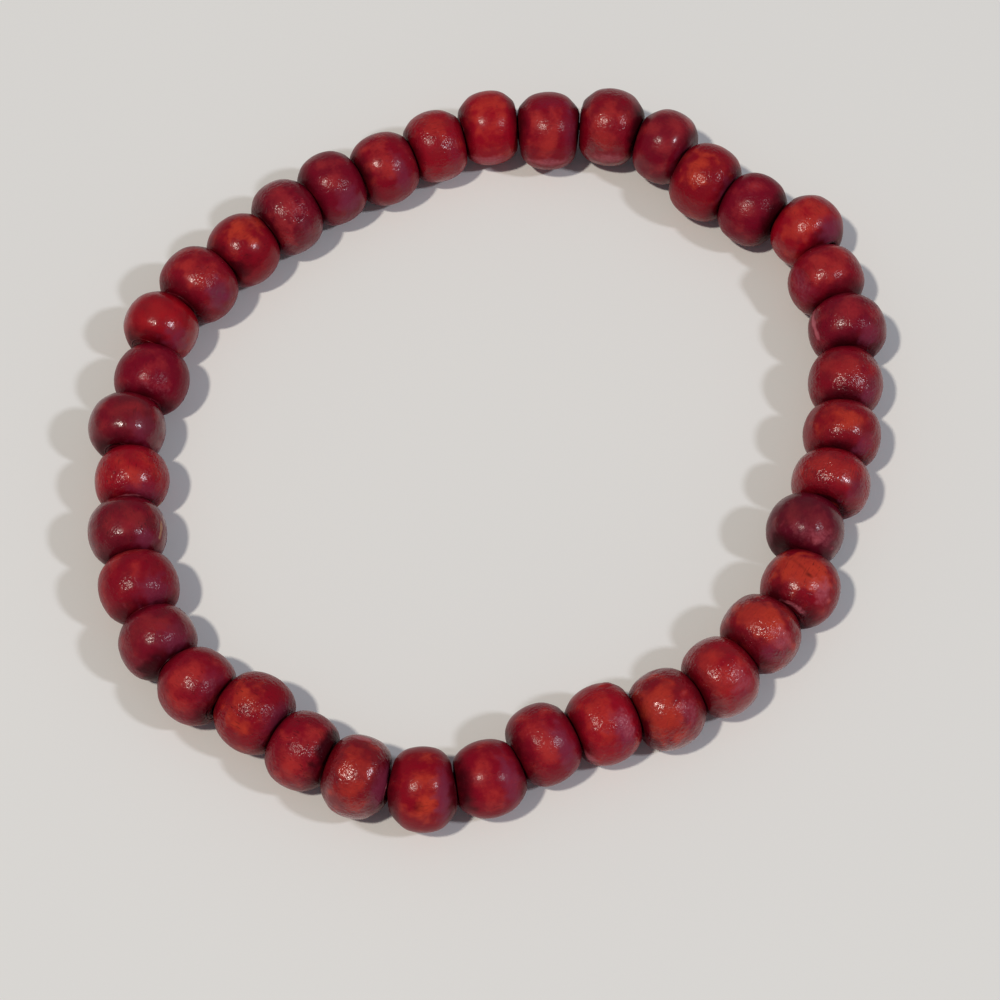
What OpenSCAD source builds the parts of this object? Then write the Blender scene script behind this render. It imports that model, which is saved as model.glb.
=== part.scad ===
// Stretch bracelet of small red stained wooden beads, threaded edge to edge on one closed
// elastic cord and lying flat on a table. Clock angles and bead numbers run clockwise,
// seen from above, from the far side of the loop (+Y).

/* [Bead] */
// Radius of the curve along a bead's side, as a share of the bead's diameter
crown_share = 0.55; // [0.5:0.01:0.7]
// Radius of the rounded shoulder next to a bead's flat face, as a share of its diameter
shoulder_share = 0.26; // [0.2:0.01:0.28]
// Diameter of the drilled hole
bore_d = 2; // [1.8:0.1:2.1]
// Width of the chamfer at each mouth of the hole
mouth_w = 0.2; // [0.1:0.05:0.3]
// Straight steps that draw each arc of a bead's outline
arc_steps = 6; // [4:1:8]

/* [String] */
// Share by which the loop is longer along one diagonal and shorter along the other
oval_share = 0.074; // [0:0.002:0.1]
// Clock angle of the long diagonal
oval_dir = 45; // [40:1:50]
// Clock angle of the first bead
start_dir = -0.5; // [-4:0.5:4]
// Air left between two neighbouring faces where they come closest
face_air = 0.06; // [0.06:0.01:0.2]

/* [Cord] */
// Thickness of the elastic cord
cord_d = 0.7; // [0.6:0.1:0.8]
// Sides of the cord's section
cord_sides = 8; // [8:1:8]
// Air left between the cord and the wall of a bead's hole
cord_air = 0.12; // [0.1:0.01:0.2]
// Number of the bead that hides the cord's knot
knot_bead = 34; // [33:1:35]
// Thickness of the cord where it is knotted
knot_d = 1.5; // [1.3:0.1:1.6]
// Length of the knot
knot_len = 1.8; // [1.2:0.1:2.4]

/* [Hidden] */

// One row a bead: diameter, length along the string, step outwards off the oval line,
// and turn off the string's own direction (degrees, positive is clockwise from above)
DIA = 0;
LEN = 1;
STEP = 2;
TURN = 3;
beads = [
    [7.0, 4.9,  0.8,  -2],
    [7.3, 5.2,  0.0,   0],
    [7.3, 5.2,  1.1,   4],
    [7.0, 4.7,  0.6,  -6],
    [7.2, 5.2, -1.2,  -8],
    [6.8, 4.8, -0.8,   3],
    [6.9, 4.7,  1.4,   0],
    [7.0, 4.9,  0.1,  -6],
    [7.1, 5.0,  0.1,   0],
    [6.7, 5.3, -1.0,  -2],
    [7.0, 4.9, -1.2,   1],
    [7.0, 4.7, -1.2,  -4],
    [6.8, 5.2, -1.7,   3],
    [6.9, 5.3,  0.6,   3],
    [7.0, 5.1,  0.5,  -2],
    [7.0, 4.9,  0.9,   2],
    [7.0, 5.2,  0.5,  -3],
    [7.0, 5.2, -0.9,  -6],
    [7.1, 4.9, -1.0,  -4],
    [6.6, 5.1,  1.0,   5],
    [7.2, 4.9,  1.8,  -2],
    [7.1, 4.8,  1.3,  -2],
    [6.8, 4.8,  0.4,  -4],
    [7.0, 5.4, -0.7,   1],
    [6.8, 5.0,  0.5,   4],
    [6.8, 4.8,  0.6,  -2],
    [7.0, 5.2, -0.1,   0],
    [6.9, 5.1, -0.4,  -2],
    [6.6, 4.9, -1.0,   2],
    [6.9, 4.9,  0.1,  -1],
    [6.7, 5.1, -0.5,   0],
    [6.8, 4.8,  1.1,   3],
    [7.2, 5.2,  0.6,  -4],
    [6.7, 5.1,  0.0,   0],
    [7.1, 4.9, -0.2,   2],
    [6.9, 4.9, -0.1,  -1],
    [6.8, 5.2, -0.6,  -1],
    [6.7, 4.9,  0.0,   4],
];
bead_count = len(beads);
function bead_name(n) = str("bead_", n < 10 ? "0" : "", n);
function around(n) = (n + bead_count) % bead_count;

// A bead's outline, as [distance from its axis, place along its axis]: a long crown arc
// runs into two short shoulder arcs, which run into the flat faces round the drilled hole
function arc(middle, r, from, to) =
    [for (k = [0:arc_steps]) let (a = from + (to - from) * k / arc_steps) middle + r * [cos(a), sin(a)]];
function crown_middle(row) = row[DIA] * (0.5 - crown_share);
function shoulder_middle(row) =
    let (rise = row[LEN] / 2 - shoulder_share * row[DIA])
    let (reach = (crown_share - shoulder_share) * row[DIA])
    [crown_middle(row) + sqrt(reach * reach - rise * rise), rise];
function face_r(row) = shoulder_middle(row)[0];
function bead_wall(row) =
    let (crown = crown_middle(row), corner = shoulder_middle(row))
    let (meet = atan2(corner[1], corner[0] - crown))
    let (shoulder_r = shoulder_share * row[DIA])
    concat(
        arc([corner[0], -corner[1]], shoulder_r, -90, -meet),
        arc([crown, 0], crown_share * row[DIA], -meet, meet),
        arc(corner, shoulder_r, meet, 90)
    );
function bead_outline(row) =
    let (wall = bead_wall(row), bore_r = bore_d / 2, half = row[LEN] / 2)
    concat(
        [for (k = [0:len(wall) - 1]) if (k == 0 || norm(wall[k] - wall[k - 1]) > 0.001) wall[k]],
        [
            [bore_r + mouth_w, half],
            [bore_r, half - mouth_w],
            [bore_r, mouth_w - half],
            [bore_r + mouth_w, -half]
        ]
    );

// The string's line: an oval drawn for a mean radius of 1, with the run along it at each
// clock angle, then grown until its whole run is the length of the threaded beads
LINE_STEPS = 720;
function on_oval(a) = (1 + oval_share * cos(2 * (a - oval_dir))) * [sin(a), cos(a)];
oval_run = [
    for (k = 0, run = 0; k <= LINE_STEPS; k = k + 1,
        run = run + norm(on_oval(360 * k / LINE_STEPS) - on_oval(360 * (k - 1) / LINE_STEPS))) run
];
function sum(values, upto, k = 0) = k >= upto ? 0 : values[k] + sum(values, upto, k + 1);

// Middles of all beads, for the runs along the oval from each one to the next
function layout(runs) =
    let (mean_r = sum(runs, bead_count) / oval_run[LINE_STEPS])
    let (clock = [for (k = [0:LINE_STEPS]) [oval_run[k] * mean_r, 360 * k / LINE_STEPS]])
    [
        for (n = [0:bead_count - 1])
            let (a = start_dir + lookup(sum(runs, n), clock))
            mean_r * on_oval(a) + beads[n][STEP] * [sin(a), cos(a)]
    ];
function direction(from, to) = atan2(to[1] - from[1], to[0] - from[0]);
function heading(spots, n) =
    direction(spots[around(n - 1)], spots[around(n + 1)]) - beads[around(n)][TURN];

// Distance that the middles of a bead and the next one need. Each leans off the straight
// line between them: where they lean apart by a bend, their inner edges need room, and
// where both lean the same way, the room between their faces is stretched along the line.
function half_lengths(n) = (beads[n][LEN] + beads[around(n + 1)][LEN]) / 2;
function lean(spots, n, m) =
    (heading(spots, m) - direction(spots[n], spots[around(n + 1)]) + 540) % 360 - 180;
function room(spots, n) =
    let (here = lean(spots, n, n), there = lean(spots, n, n + 1))
    let (faces = face_r(beads[n]) + face_r(beads[around(n + 1)]))
    (half_lengths(n) + face_air + faces * tan(abs(here - there) / 2)) / cos((here + there) / 2);

// The runs are corrected pass by pass, until every distance is the one that is needed
START_GAP = 0.4;
PASSES = 8;
function settled(runs, passes) =
    let (spots = layout(runs))
    passes == 0
        ? spots
        : settled([
            for (n = [0:bead_count - 1])
                runs[n] + room(spots, n) - norm(spots[around(n + 1)] - spots[n])
        ], passes - 1);
loose_spots = settled([for (n = [0:bead_count - 1]) half_lengths(n) + START_GAP], PASSES);

// The loop is moved so that the origin lies on the table under the middle of its box
function side_reach(n, along) =
    let (row = beads[n], turn = heading(loose_spots, n) - along)
    max([for (p = bead_wall(row)) p[0] * abs(sin(turn)) + abs(p[1] * cos(turn))]);
function middle(axis) =
    let (along = axis * 90)
    let (high = max([for (n = [0:bead_count - 1]) loose_spots[n][axis] + side_reach(n, along)]))
    let (low = min([for (n = [0:bead_count - 1]) loose_spots[n][axis] - side_reach(n, along)]))
    (high + low) / 2;
loop_middle = [middle(0), middle(1)];
spots = [for (p = loose_spots) p - loop_middle];
function centre(n) = [spots[n][0], spots[n][1], beads[n][DIA] / 2];

module bead(n) {
    color("firebrick")
        translate(centre(n))
            rotate([0, 0, heading(spots, n)])
                rotate([0, 90, 0])
                    rotate_extrude($fn = 64)
                        polygon(bead_outline(beads[n]));
}

// The cord runs straight through each bead. At each mouth it lies off the hole's middle
// towards the middle of the gap, as far as the hole lets it. It is thicker at its knot.
cord_slack = (bore_d - cord_d) / 2 - cord_air;
function across(n) = let (h = heading(spots, n)) [-sin(h), cos(h), 0];
function mouth(n, side) = centre(n) + side * beads[n][LEN] / 2 * cross(across(n), [0, 0, 1]);
function gap_middle(n) = (mouth(n, 1) + mouth(around(n + 1), -1)) / 2;
function cord_point(n, side) =
    let (off = gap_middle(side > 0 ? n : around(n - 1)) - mouth(n, side))
    mouth(n, side) + max(-cord_slack, min(cord_slack, off * across(n))) * across(n) + [0, 0, off[2]];
knot_sections = [
    [-knot_len / 2, cord_d],
    [-knot_len / 4, knot_d],
    [knot_len / 4, knot_d],
    [knot_len / 2, cord_d]
];
function cord_ring(n, along, hub, d) =
    let (side = across(n), up = cross(along, side))
    [
        for (k = [0:cord_sides - 1])
            let (a = 360 * k / cord_sides)
            hub + d / 2 * (cos(a) * side + sin(a) * up)
    ];
function cord_rings(n) =
    let (from = cord_point(n, -1), to = cord_point(n, 1))
    let (half = norm(to - from) / 2, along = (to - from) / (2 * half))
    let (ends = [[-half, cord_d], [half, cord_d]])
    let (sections = n + 1 == knot_bead ? concat([ends[0]], knot_sections, [ends[1]]) : ends)
    [for (section = sections) cord_ring(n, along, (from + to) / 2 + section[0] * along, section[1])];

module elastic_cord() {
    rings = [for (n = [0:bead_count - 1]) for (ring = cord_rings(n)) ring];
    ring_count = len(rings);
    color("maroon")
        polyhedron(
            points = [for (ring = rings) for (p = ring) p],
            faces = [
                for (i = [0:ring_count - 1])
                    let (a = i * cord_sides, b = (i + 1) % ring_count * cord_sides)
                    for (k = [0:cord_sides - 1])
                        let (m = (k + 1) % cord_sides)
                        for (face = [[a + k, b + m, a + m], [a + k, b + k, b + m]]) face
            ]
        );
}

for (n = [0:bead_count - 1])
    bead(n);
elastic_cord();
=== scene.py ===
"""Looks of a stretch bracelet of red stained wooden beads, lying on a pale table.

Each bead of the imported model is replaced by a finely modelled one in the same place: slightly
out of round, with its own stain, lacquer, pits and scuffs. Lengths inside the classes are
millimetres, and they turn to metres where a mesh, a lamp or the camera is made.
"""

import logging
import math
from dataclasses import dataclass, field
from enum import Enum
from functools import partial
from typing import Any

import bpy
import numpy as np
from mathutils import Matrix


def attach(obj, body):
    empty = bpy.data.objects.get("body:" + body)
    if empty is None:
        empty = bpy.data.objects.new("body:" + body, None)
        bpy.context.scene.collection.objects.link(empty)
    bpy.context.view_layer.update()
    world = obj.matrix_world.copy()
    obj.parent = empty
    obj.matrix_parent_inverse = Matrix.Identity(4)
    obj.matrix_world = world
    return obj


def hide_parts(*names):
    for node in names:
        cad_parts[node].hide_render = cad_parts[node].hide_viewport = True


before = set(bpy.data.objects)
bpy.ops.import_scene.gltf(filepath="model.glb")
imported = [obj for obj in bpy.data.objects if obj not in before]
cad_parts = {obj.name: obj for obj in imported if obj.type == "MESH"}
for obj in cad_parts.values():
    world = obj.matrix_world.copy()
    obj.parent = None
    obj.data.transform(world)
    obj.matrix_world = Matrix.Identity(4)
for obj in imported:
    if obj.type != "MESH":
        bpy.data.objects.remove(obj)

LOG = logging.getLogger("bracelet")
MM = 0.001
BEAD_COUNT = 38
UPWARDS = np.array([0.0, 0.0, 1.0])


def bead_name(number: int) -> str:
    """Name of the bead with this number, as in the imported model."""
    return f"bead_{number:02d}"


# Colour and nodes


def linear(colour: str) -> tuple[float, float, float, float]:
    """Turns an sRGB hex colour into the linear colour that a shader socket takes.

    Args:
        colour: Six hex digits after a hash sign.

    Returns:
        Red, green, blue and an alpha of one.
    """
    shares = [int(colour[i : i + 2], 16) / 255 for i in (1, 3, 5)]
    red, green, blue = [
        share / 12.92 if share <= 0.04045 else ((share + 0.055) / 1.055) ** 2.4
        for share in shares
    ]
    return red, green, blue, 1.0


def add_node(
    tree: bpy.types.NodeTree,
    kind: str,
    settings: dict[str, Any] | None = None,
    inputs: dict[str | int, Any] | None = None,
    output: str | int | None = 0,
) -> bpy.types.NodeSocket | None:
    """Adds a node, with its settings, the values of its sockets and the links into them.

    Args:
        tree: Node tree of the material.
        kind: Type of the node.
        settings: Properties of the node.
        inputs: Values by socket name or number, or output sockets to link from.
        output: Name or number of the output socket that is wanted, or None for a node
            that has none.

    Returns:
        That output socket.
    """
    node = tree.nodes.new(kind)
    for name, value in (settings or {}).items():
        setattr(node, name, value)
    for key, value in (inputs or {}).items():
        if isinstance(value, bpy.types.NodeSocket):
            tree.links.new(value, node.inputs[key])
        else:
            node.inputs[key].default_value = value
    return None if output is None else node.outputs[output]


def new_material(name: str) -> tuple[bpy.types.Material, bpy.types.NodeTree]:
    """Makes an empty material.

    Args:
        name: Name of the material.

    Returns:
        The material and its node tree.
    """
    material = bpy.data.materials.new(name)
    material.use_nodes = True
    material.node_tree.nodes.clear()
    return material, material.node_tree


# Kinds and settings of the nodes that are used most
MATH = "ShaderNodeMath"
VECTORS = "ShaderNodeVectorMath"
NOISE = "ShaderNodeTexNoise"
RANGE = "ShaderNodeMapRange"
MIX = "ShaderNodeMix"
BUMP = "ShaderNodeBump"
STORED = "ShaderNodeAttribute"
PRINCIPLED = "ShaderNodeBsdfPrincipled"
OUTPUT = "ShaderNodeOutputMaterial"
PLUS = {"operation": "ADD"}
TIMES = {"operation": "MULTIPLY"}
SMOOTH = {"interpolation_type": "SMOOTHSTEP"}
COLOURS = {"data_type": "RGBA"}
# Sockets of a Mix node that mixes colours: its share, its two colours and what comes out
SHARE, UNDER, OVER, MIXED = 0, 6, 7, 2


# Finishes


class Shade(Enum):
    """Red stains of the beads, as (name, body colour, colour where the stain is thin). The thin
    colour also paints each bead's crown lighter where the lamps fall on it, which is painted light.
    """

    SCARLET = ("scarlet", "#96091e", "#b8332a")
    CRIMSON = ("crimson", "#83081e", "#ac2e2c")
    BRICK = ("brick", "#87091c", "#ba3a28")
    CARMINE = ("carmine", "#760720", "#9c282e")
    MAROON = ("maroon", "#620a21", "#80262f")
    CHERRY = ("cherry", "#99081a", "#ac1a20")


@dataclass(frozen=True)
class LacqueredBeech:
    """Beech, turned on a lathe, dip-stained red and tumbled in clear lacquer.

    The stain soaks in unevenly. Each bead's crown is lighter and orange: partly stain worn thin,
    partly painted light where the lamps fall on it. Its ends are darker: partly stain soaked deep
    into the end grain next to the hole, partly painted shade in the creases between the beads.
    The thin lacquer sinks into the grain and wrinkles as it dries, so that each highlight breaks
    into small sparks.
    """

    shade: Shade
    # Clear nitrocellulose lacquer: IOR 1.5. Most of it has sunk in, which leaves a weak, broad
    # sheen on the wood, and a patchy thin film on top, which gives the sharper sparks.
    ior: float = 1.5
    film_roughness: float = 0.34
    film_level: float = 0.08
    gloss_roughness: float = 0.2
    gloss_low: float = 0.14
    gloss_high: float = 0.55
    # Noise where the film is thinnest and where it is thickest
    gloss_range: tuple[float, float] = (0.3, 0.7)
    # The film is slightly red from the stain, which shows where one looks along it
    gloss_tint: str = "#e2b4ba"
    # Dark tone of the end grain, mottles, specks and pores, and of the shade painted at the ends,
    # in the creases and on the DEEP marks
    deep_colour: str = "#3a050e"
    # Purple sheen painted on the lower right flanks: a painted reflection of the fill lamp and the
    # table
    painted_sheen_colour: str = "#7d2c44"
    # Matt pink of scuffs, and of the pink sheen painted on the right flanks and lower edges as a
    # painted reflection
    scuff_and_sheen_colour: str = "#b85c68"
    bare_colour: str = "#aa7a58"
    # Uneven soaking shows as mottles of a millimetre or two, with specks between them
    mottle_width: float = 1.5
    mottle_detail: float = 5.0
    speck_width: float = 0.3
    speck_detail: float = 2.0
    stain_raggedness: float = 0.62
    # Soaking where the tone starts to turn lighter or darker, and where it fully does. The lighter
    # crowns and darker ends in it are partly painted light and painted shade.
    lighter_range: tuple[float, float] = (0.78, 1.7)
    darker_range: tuple[float, float] = (-0.4, 0.75)
    # How much the stain is worn on the ridges of the wrinkles
    ridge_wear: float = 0.5
    # Noise where specks start and are full, and how dark they are then
    speck_range: tuple[float, float] = (0.58, 0.78)
    speck_depth: float = 0.25
    # Masks where the painted purple sheen, pink patches that are partly scuffs and partly painted
    # sheen, and bare spots start and are full, and how much specks fray them
    painted_sheen_range: tuple[float, float] = (0.25, 1.7)
    scuff_and_sheen_range: tuple[float, float] = (0.45, 1.3)
    bare_range: tuple[float, float] = (0.7, 0.95)
    fraying: float = 0.6
    # Vessels of beech are about 0.08 mm wide. Drawn 0.12 mm wide and 0.9 mm long, to show.
    pore_width: float = 0.12
    pore_length: float = 0.9
    pore_depth: float = 0.005
    pore_range: tuple[float, float] = (0.6, 0.72)
    # Turning marks of the lathe tool run round the bead, about 0.25 mm apart
    ring_gap: float = 0.25
    ring_length: float = 5.0
    ring_height: float = 0.004
    # Wrinkles of the lacquer: cells of about a third of a millimetre
    wrinkle_width: float = 0.32
    wrinkle_detail: float = 2.0
    wrinkle_height: float = 0.09
    # Pores and turning marks have little finer detail of their own
    fine_detail: float = 1.0

    def colour(self, tree: bpy.types.NodeTree, place: Any, cells: Any, pores: Any) -> Any:
        """Adds the colour of the stained wood, with the light and shade that are painted on it.

        Args:
            tree: Node tree of the material.
            place: Output socket with the place on the bead, in millimetres.
            cells: Output socket of the wrinkles of the lacquer, about 0 to 1.
            pores: Output socket of the pores, 1 in a pore.

        Returns:
            Output socket of the colour.
        """
        add = partial(add_node, tree)
        masks = {
            name: add(STORED, {"attribute_name": name}, output="Fac")
            for name in ("thin", "deep", "blush", "pale", "bare")
        }
        mottle, speck = [
            add(
                NOISE,
                None,
                {
                    "Vector": place,
                    "Scale": 1 / width,
                    "Detail": detail,
                    "Roughness": self.stain_raggedness,
                },
            )
            for width, detail in (
                (self.mottle_width, self.mottle_detail),
                (self.speck_width, self.speck_detail),
            )
        ]
        # Lighter, orange tone: thin stain, soaked unevenly and worn through first on the ridges of
        # the wrinkles, and each bead's crown, painted lighter where the lamps fall on it, which is
        # painted light
        soak = add(MATH, PLUS, {0: masks["thin"], 1: mottle})
        ridge = add(MATH, TIMES, {0: cells, 1: self.ridge_wear})
        soak = add(MATH, PLUS, {0: soak, 1: ridge})
        low, high = self.lighter_range
        share = add(RANGE, SMOOTH, {"Value": soak, "From Min": low, "From Max": high})
        body, thin = [linear(colour) for colour in self.shade.value[1:]]
        tone = add(MIX, COLOURS, {SHARE: share, UNDER: body, OVER: thin}, MIXED)
        # Dark tone: darker mottles, specks and pores, stain soaked into the end grain, and shade
        # painted at the bead's ends and in the creases between beads
        deep = linear(self.deep_colour)
        soak = add(MATH, TIMES, {0: mottle, 1: -1.0})
        soak = add(MATH, PLUS, {0: soak, 1: masks["deep"]})
        low, high = self.darker_range
        share = add(RANGE, SMOOTH, {"Value": soak, "From Min": low, "From Max": high})
        tone = add(MIX, COLOURS, {SHARE: share, UNDER: tone, OVER: deep}, MIXED)
        low, high = self.speck_range
        inputs = {"Value": speck, "From Min": low, "From Max": high, "To Max": self.speck_depth}
        dots = add(RANGE, SMOOTH, inputs)
        dots = add(MATH, {"operation": "MAXIMUM"}, {0: dots, 1: pores})
        tone = add(MIX, COLOURS, {SHARE: dots, UNDER: tone, OVER: deep}, MIXED)
        # Painted purple sheen, pink patches that are partly scuffs and partly painted sheen, and
        # bare wood, each with an edge that the specks make ragged
        for name, (low, high), colour in (
            ("blush", self.painted_sheen_range, self.painted_sheen_colour),
            ("pale", self.scuff_and_sheen_range, self.scuff_and_sheen_colour),
            ("bare", self.bare_range, self.bare_colour),
        ):
            ragged = add(MATH, TIMES, {0: speck, 1: self.fraying})
            ragged = add(MATH, PLUS, {0: ragged, 1: masks[name]})
            share = add(RANGE, SMOOTH, {"Value": ragged, "From Min": low, "From Max": high})
            tone = add(MIX, COLOURS, {SHARE: share, UNDER: tone, OVER: linear(colour)}, MIXED)
        return tone

    def build(self) -> bpy.types.Material:
        """Makes the material and returns it."""
        material, tree = new_material(f"beech_{self.shade.value[0]}")
        add = partial(add_node, tree)
        place = add(STORED, {"attribute_name": "turned"}, output="Vector")
        wrinkle, grain, pale, bare, film = [
            add(STORED, {"attribute_name": name}, output="Fac")
            for name in ("wrinkle", "grain", "pale", "bare", "film")
        ]
        # Pores run along the bead's axis, which is the first coordinate, turning marks round it
        width, length = 1 / self.pore_width, 1 / self.pore_length
        vessels = add(VECTORS, TIMES, {0: place, 1: (length, width, width)})
        pores = add(NOISE, None, {"Vector": vessels, "Scale": 1.0, "Detail": self.fine_detail})
        low, high = self.pore_range
        pores = add(RANGE, SMOOTH, {"Value": pores, "From Min": low, "From Max": high})
        pores = add(MATH, TIMES, {0: pores, 1: grain})
        gap, length = 1 / self.ring_gap, 1 / self.ring_length
        grooves = add(VECTORS, TIMES, {0: place, 1: (gap, length, length)})
        rings = add(NOISE, None, {"Vector": grooves, "Scale": 1.0, "Detail": self.fine_detail})
        inputs = {"Vector": place, "Scale": 1 / self.wrinkle_width, "Detail": self.wrinkle_detail}
        cells = add(NOISE, None, inputs)
        # Relief in millimetres
        folds = add(MATH, TIMES, {0: cells, 1: wrinkle})
        relief = add(MATH, TIMES, {0: folds, 1: self.wrinkle_height})
        marks = add(MATH, TIMES, {0: rings, 1: self.ring_height})
        relief = add(MATH, PLUS, {0: relief, 1: marks})
        sunk = add(MATH, TIMES, {0: pores, 1: -self.pore_depth})
        relief = add(MATH, PLUS, {0: relief, 1: sunk})
        normal = add(BUMP, None, {"Strength": 1.0, "Distance": MM, "Height": relief})
        # The gloss is patchy, and the pink patches, partly scuffs and partly painted sheen, and
        # bare spots are matt
        inputs = {"Vector": place, "Scale": 1 / self.mottle_width, "Detail": self.mottle_detail}
        patch = add(NOISE, None, inputs)
        matt = add(MATH, PLUS, {0: pale, 1: bare})
        patch = add(MATH, {"operation": "SUBTRACT"}, {0: patch, 1: matt})
        low, high = self.gloss_range
        inputs = {"Value": patch, "From Min": low, "From Max": high}
        inputs |= {"To Min": self.gloss_low, "To Max": self.gloss_high}
        gloss = add(RANGE, SMOOTH, inputs)
        gloss = add(MATH, TIMES | {"use_clamp": True}, {0: gloss, 1: film})
        inputs = {
            "Base Color": self.colour(tree, place, cells, pores),
            "Roughness": self.film_roughness,
            "IOR": self.ior,
            "Specular IOR Level": self.film_level,
            "Coat Weight": gloss,
            "Coat Roughness": self.gloss_roughness,
            "Coat IOR": self.ior,
            "Coat Tint": linear(self.gloss_tint),
            "Normal": normal,
            "Coat Normal": normal,
        }
        surface = add(PRINCIPLED, None, inputs)
        add(OUTPUT, None, {"Surface": surface}, None)
        return material


@dataclass(frozen=True)
class LatexElastic:
    """Extruded latex elastic, dyed dark red.

    It is smooth and slightly waxy, with fine lines along it from the die.
    """

    name: str = "latex_elastic"
    colour: str = "#1e070b"
    light_colour: str = "#2c0a10"
    roughness: float = 0.6
    ior: float = 1.52
    gloss: float = 0.2
    # Die lines about 0.1 mm wide and 0.01 mm deep, with soft edges
    line_width: float = 0.1
    line_length: float = 5.0
    line_depth: float = 0.01
    line_strength: float = 0.4

    def build(self) -> bpy.types.Material:
        """Makes the material and returns it."""
        material, tree = new_material(self.name)
        add = partial(add_node, tree)
        place = add(STORED, {"attribute_name": "turned"}, output="Vector")
        width, length = 1 / self.line_width, 1 / self.line_length
        drawn = add(VECTORS, TIMES, {0: place, 1: (length, width, width)})
        lines = add(NOISE, None, {"Vector": drawn, "Scale": 1.0})
        colours = {SHARE: lines, UNDER: linear(self.colour), OVER: linear(self.light_colour)}
        relief = {"Strength": self.line_strength, "Distance": self.line_depth * MM, "Height": lines}
        inputs = {
            "Base Color": add(MIX, COLOURS, colours, MIXED),
            "Roughness": self.roughness,
            "IOR": self.ior,
            "Specular IOR Level": self.gloss,
            "Normal": add(BUMP, None, relief),
        }
        surface = add(PRINCIPLED, None, inputs)
        add(OUTPUT, None, {"Surface": surface}, None)
        return material


@dataclass(frozen=True)
class PaleTable:
    """Melamine board, pressed smooth: an even, pale warm grey with hardly any gloss."""

    name: str = "pale_table"
    colour: str = "#e9e9e4"
    second_colour: str = "#e6e6e2"
    roughness: float = 0.75
    gloss: float = 0.25
    # Clouds in the tone, about 60 mm wide
    cloud_width: float = 60.0

    def build(self) -> bpy.types.Material:
        """Makes the material and returns it."""
        material, tree = new_material(self.name)
        add = partial(add_node, tree)
        place = add("ShaderNodeTexCoord", output="Object")
        clouds = add(NOISE, None, {"Vector": place, "Scale": 1 / (self.cloud_width * MM)})
        colours = {SHARE: clouds, UNDER: linear(self.colour), OVER: linear(self.second_colour)}
        inputs = {
            "Base Color": add(MIX, COLOURS, colours, MIXED),
            "Roughness": self.roughness,
            "Specular IOR Level": self.gloss,
        }
        surface = add(PRINCIPLED, None, inputs)
        add(OUTPUT, None, {"Surface": surface}, None)
        return material


# Camera and light


@dataclass(frozen=True)
class Studio:
    """Table, two soft lamps high above it and the camera at the photograph's angle."""

    # The camera looks along +Y, down at this elevation, at a point on the table
    elevation: float = 61.0
    distance: float = 280.0
    target: tuple[float, float] = (0.8, -4.1)
    # A 36 mm wide sensor behind a long lens: 11.4 pixels of 1000 to a millimetre at the target
    lens: float = 114.9
    sensor_width: float = 36.0
    # The camera sees from 10 mm to 20 m away
    nearest: float = 10.0
    farthest: float = 20000.0
    table_side: float = 9000.0
    lamp_distance: float = 2400.0
    # Directions to the lamps, their widths seen from the table, their power and colour
    key_direction: tuple[float, float, float] = (-0.39, -0.3, 1.0)
    key_angle: float = 4.0
    key_power: float = 30.5
    key_colour: str = "#fff6eb"
    fill_direction: tuple[float, float, float] = (0.84, -0.3, 1.0)
    fill_angle: float = 5.0
    fill_power: float = 17.0
    fill_colour: str = "#eff3ff"
    room_colour: str = "#74777f"

    def eye(self) -> np.ndarray:
        """Place of the camera."""
        angle = math.radians(self.elevation)
        back = np.array([0.0, -math.cos(angle), math.sin(angle)])
        return np.array([*self.target, 0.0]) + self.distance * back

    def build_camera(self) -> None:
        """Makes the camera and makes it the scene's."""
        data = bpy.data.cameras.new("camera")
        data.lens = self.lens
        data.sensor_width = self.sensor_width
        data.clip_start = self.nearest * MM
        data.clip_end = self.farthest * MM
        camera = bpy.data.objects.new("camera", data)
        camera.location = self.eye() * MM
        camera.rotation_euler = (math.radians(90 - self.elevation), 0.0, 0.0)
        bpy.context.scene.collection.objects.link(camera)
        bpy.context.scene.camera = camera

    def build_lamp(
        self,
        name: str,
        direction: tuple[float, float, float],
        angle: float,
        power: float,
        colour: str,
    ) -> None:
        """Makes a round lamp that faces the bracelet.

        Args:
            name: Name of the lamp.
            direction: Direction from the table towards the lamp.
            angle: Width of the lamp as seen from the table, in degrees.
            power: Power in watts.
            colour: Colour as sRGB hex.
        """
        data = bpy.data.lights.new(name, "AREA")
        data.shape = "DISK"
        data.size = 2 * self.lamp_distance * MM * math.tan(math.radians(angle / 2))
        data.energy = power
        data.color = linear(colour)[:3]
        towards = np.array(direction) / np.linalg.norm(direction)
        lamp = bpy.data.objects.new(name, data)
        lamp.location = towards * self.lamp_distance * MM
        lamp.rotation_euler = lamp.location.to_track_quat("Z", "Y").to_euler()
        bpy.context.scene.collection.objects.link(lamp)

    def build_table(self) -> None:
        """Makes the table top that the bracelet lies on."""
        half = self.table_side / 2 * MM
        corners = [(-half, -half, 0), (half, -half, 0), (half, half, 0), (-half, half, 0)]
        mesh = bpy.data.meshes.new("table_top")
        mesh.from_pydata(corners, [], [(0, 1, 2, 3)])
        table = bpy.data.objects.new("table_top", mesh)
        mesh.materials.append(PaleTable().build())
        bpy.context.scene.collection.objects.link(table)

    def build(self) -> None:
        """Makes the whole studio."""
        scene = bpy.context.scene
        scene.view_settings.view_transform = "Standard"
        scene.world = bpy.data.worlds.new("room")
        scene.world.use_nodes = True
        background = scene.world.node_tree.nodes["Background"]
        background.inputs["Color"].default_value = linear(self.room_colour)
        self.build_table()
        self.build_lamp(
            "key_lamp", self.key_direction, self.key_angle, self.key_power, self.key_colour
        )
        self.build_lamp(
            "fill_lamp", self.fill_direction, self.fill_angle, self.fill_power, self.fill_colour
        )
        self.build_camera()


# Beads


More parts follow.
